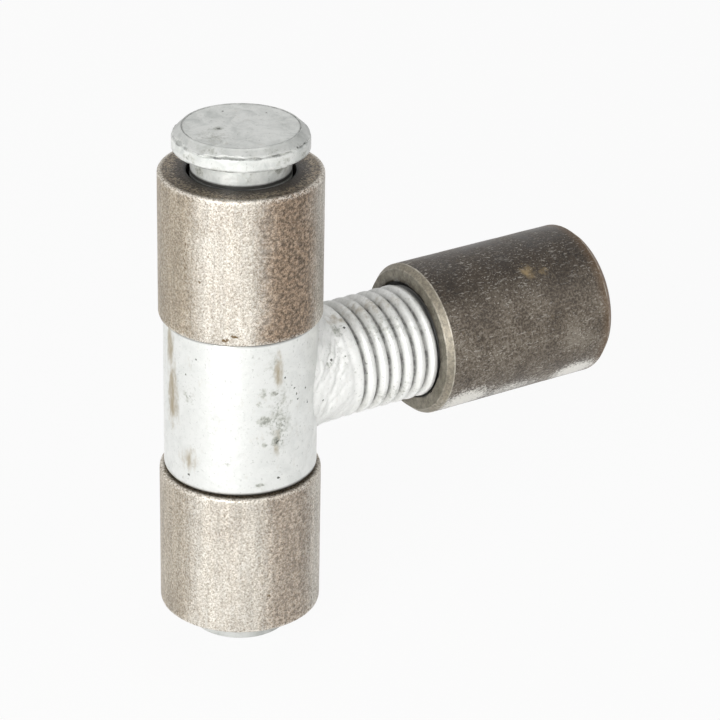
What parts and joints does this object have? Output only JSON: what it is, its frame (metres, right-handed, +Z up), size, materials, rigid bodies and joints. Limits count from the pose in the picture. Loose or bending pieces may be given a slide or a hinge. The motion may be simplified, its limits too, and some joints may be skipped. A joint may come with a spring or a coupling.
{
  "type": "weld on barrel hinge",
  "caption": "Steel gate hinge with weld-on barrels above and below a zinc-coated eye, a headed pin through them, and a threaded stud in a weld-in sleeve.",
  "frame": {"origin": "on the pin's axis, at the middle of the lower barrel", "axes": "+Z up along the pin's axis, towards its head; +X along the stud, from the eye to the sleeve"},
  "size_m": [0.0822, 0.0274, 0.0916],
  "materials": {
    "bare_steel": "bare steel, shot-blasted to a fine even grain",
    "zinc_pin": "steel with a dull hot-dip zinc coat",
    "zinc_eye": "steel with a pale hot-dip zinc coat, slightly stained",
    "mill_steel": "bare steel with dark brown mill scale and light scratches"
  },
  "bodies": {
    "post_barrels": {"upper_barrel": "bare_steel", "lower_barrel": "bare_steel"},
    "pin": {"hinge_pin": "zinc_pin"},
    "eye": {"threaded_eye": "zinc_eye"},
    "sleeve": {"threaded_sleeve": "mill_steel"}
  },
  "joints": [
    {"name": "pin_lift", "type": "slide", "parent": "post_barrels", "child": "pin", "axis": [0, 0, 1], "range_m": [-0.0037, 0.085]},
    {"name": "eye_turn", "type": "hinge", "parent": "post_barrels", "child": "eye", "pos_m": [0, 0, 0.02775], "axis": [0, 0, 1], "continuous": true},
    {"name": "sleeve_screw", "type": "slide", "parent": "eye", "child": "sleeve", "axis": [1, 0, 0], "range_m": [-0.015, 0.0025]}
  ]
}
